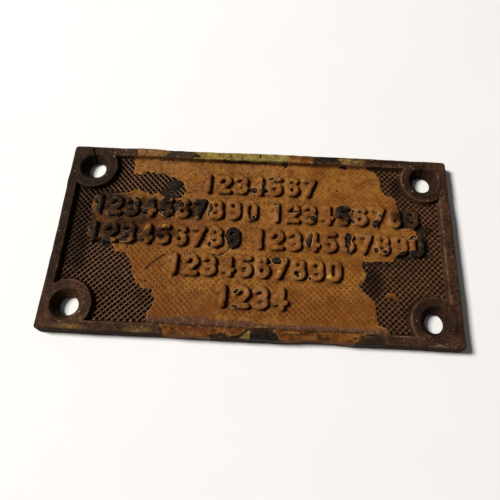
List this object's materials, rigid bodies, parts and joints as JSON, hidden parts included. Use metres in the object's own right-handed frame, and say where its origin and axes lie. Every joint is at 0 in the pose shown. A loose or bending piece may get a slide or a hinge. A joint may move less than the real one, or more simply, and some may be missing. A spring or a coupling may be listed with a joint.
{
  "type": "locomotive builders plate",
  "caption": "Cast brass tablet with raised rim, chequered ground, countersunk corner bosses and flaking paint, to be screwed flat to a vehicle's side.",
  "frame": {"origin": "middle of the flat back face", "axes": "+X along the length in reading direction, +Y up the plate as it hangs, +Z out of its face"},
  "size_m": [0.2044, 0.1022, 0.0067],
  "materials": {
    "cast_brass": "cast brass, dark brown patina, dull with polished high spots",
    "tan_paint": "old tan oil paint, satin, chipped and stained",
    "orange_paint": "darker orange-tan oil paint, satin, worn",
    "yellow_paint": "faded yellow-green coat under the tan",
    "dark_undercoat": "near-black undercoat, matt"
  },
  "bodies": {
    "root": {"cast_plate": "cast_brass", "field_paint": "tan_paint", "ground_flake": "tan_paint", "top_rim_tan": "tan_paint", "top_rim_undercoat_left": "dark_undercoat", "top_rim_yellow": "yellow_paint", "top_rim_orange": "orange_paint", "top_rim_undercoat_right": "dark_undercoat", "top_rim_crumbs": "yellow_paint", "bottom_rim_tan_left": "orange_paint", "bottom_rim_yellow": "yellow_paint", "bottom_rim_undercoat_left": "dark_undercoat", "bottom_rim_tan_right": "orange_paint", "bottom_rim_undercoat_right": "dark_undercoat"}
  },
  "joints": []
}
